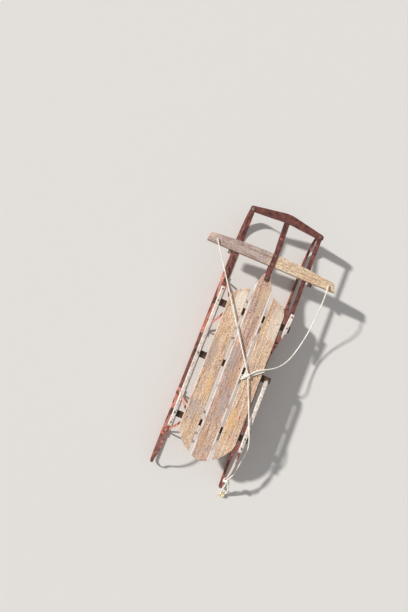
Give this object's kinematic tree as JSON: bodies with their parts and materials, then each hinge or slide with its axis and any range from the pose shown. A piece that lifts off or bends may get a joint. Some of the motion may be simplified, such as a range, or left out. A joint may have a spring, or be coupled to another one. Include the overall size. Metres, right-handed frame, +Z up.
{
  "type": "child's steerable runner sled",
  "caption": "Weathered child's snow sled: slatted wooden deck and benches on steel runners, with a pivoting wooden steering bar, front bumper strap, broken side rail and tied rope.",
  "frame": {"origin": "on the floor, midway between the bumper's nose and the runners' rear curls, on the middle line", "axes": "+Y forward, +X to the rider's right, +Z up"},
  "size_m": [0.6, 1.245, 0.185],
  "materials": {
    "deck_wood": "bare, sun-bleached",
    "rail_wood": "bare, weathered pale grey",
    "bench_wood": "bare, weathered",
    "bar_wood": "bare, half grey and half tan",
    "painted_steel": "faded salmon-red paint with rust",
    "rusty_steel": "rust brown",
    "rope": "matt cotton rope"
  },
  "bodies": {
    "frame": {"bench_front": "bench_wood", "bench_middle": "bench_wood", "bench_rear": "bench_wood", "board_centre": "deck_wood", "board_left": "deck_wood", "board_right": "deck_wood", "bumper": "rusty_steel", "corner_bolt_left": "rusty_steel", "corner_bolt_right": "rusty_steel", "knee_front_left": "painted_steel", "knee_front_right": "painted_steel", "knee_rear_left": "painted_steel", "knee_rear_right": "painted_steel", "pivot_bolt": "rusty_steel", "rear_curl_left": "painted_steel", "rear_curl_right": "painted_steel", "rope_curl_knot": "rope", "rope_knot": "rope", "rope_left": "rope", "rope_leg_left": "rope", "rope_leg_right": "rope", "rope_right": "rope", "rope_tail": "rope", "rope_tassel": "rope", "rope_wrap_front": "rope", "rope_wrap_rear": "rope", "runner_left": "painted_steel", "runner_right": "painted_steel", "side_rail_left": "rail_wood", "side_rail_right_front": "rail_wood", "side_rail_right_rear": "rail_wood", "side_strap_left": "rusty_steel", "side_strap_right": "rusty_steel"},
    "steering": {"steering_bar": "bar_wood", "centre_strap": "rusty_steel", "yoke_plate": "rusty_steel", "bar_rivet_front": "rusty_steel", "bar_rivet_rear": "rusty_steel", "guide_bolt_left": "rusty_steel", "guide_bolt_right": "rusty_steel", "rope_stub_left": "rope", "rope_stub_right": "rope"}
  },
  "joints": [
    {"name": "steering_pivot", "type": "hinge", "parent": "frame", "child": "steering", "pos_m": [0, 0.301, 0.155], "axis": [0, 0, 1], "range_deg": [-12, 12]}
  ]
}
